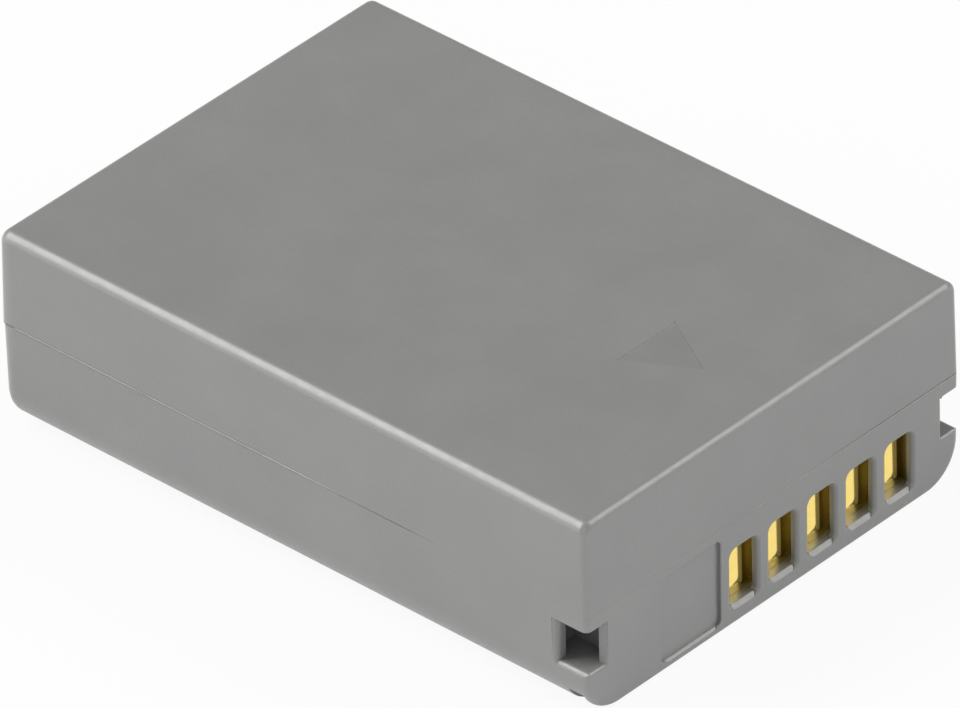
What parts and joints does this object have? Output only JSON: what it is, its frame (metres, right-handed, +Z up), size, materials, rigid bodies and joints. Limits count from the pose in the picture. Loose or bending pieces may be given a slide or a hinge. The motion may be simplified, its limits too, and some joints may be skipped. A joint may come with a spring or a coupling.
{
  "type": "camera battery pack",
  "caption": "Flat rectangular rechargeable camera battery pack in a moulded grey case split along its sides, with recessed gold contacts and corner notches at the contact end.",
  "frame": {"origin": "middle of the bottom face", "axes": "+X along the pack towards its contact end, +Y across it, +Z up to the face with the insertion arrow"},
  "size_m": [0.05, 0.0354, 0.0149],
  "materials": {
    "case_plastic": "satin moulded grey",
    "gold_plate": "polished gold plating",
    "board": "green lacquered glass laminate",
    "chip_black": "matte moulded",
    "chip_ceramic": "fired ceramic",
    "cell_can": "drawn, satin",
    "nickel": "rolled nickel strip",
    "gasket": "matte",
    "insulating_sheet": "fibre sheet",
    "tape": "double-sided tape",
    "foam": "closed-cell foam"
  },
  "bodies": {
    "root": {"upper_case": "case_plastic", "lower_case": "case_plastic", "terminal_1": "gold_plate", "terminal_2": "gold_plate", "terminal_3": "gold_plate", "terminal_4": "gold_plate", "terminal_5": "gold_plate", "circuit_board": "board", "protection_chip": "chip_black", "switch_chip": "chip_black", "resistor_1": "chip_black", "resistor_2": "chip_black", "resistor_3": "chip_black", "fuse": "chip_ceramic", "thermistor": "chip_ceramic", "capacitor_1": "chip_ceramic", "capacitor_2": "chip_ceramic", "lower_cell": "cell_can", "upper_cell": "cell_can", "lower_pole": "nickel", "upper_pole": "nickel", "lower_weld_pad": "nickel", "upper_weld_pad": "nickel", "series_link": "nickel", "negative_tab": "nickel", "positive_tab": "nickel", "midpoint_tab": "nickel", "lower_gasket": "gasket", "upper_gasket": "gasket", "lid_sheet": "insulating_sheet", "bottom_tape": "tape", "middle_tape": "tape", "top_tape": "tape", "rear_cushion": "foam"}
  },
  "joints": []
}
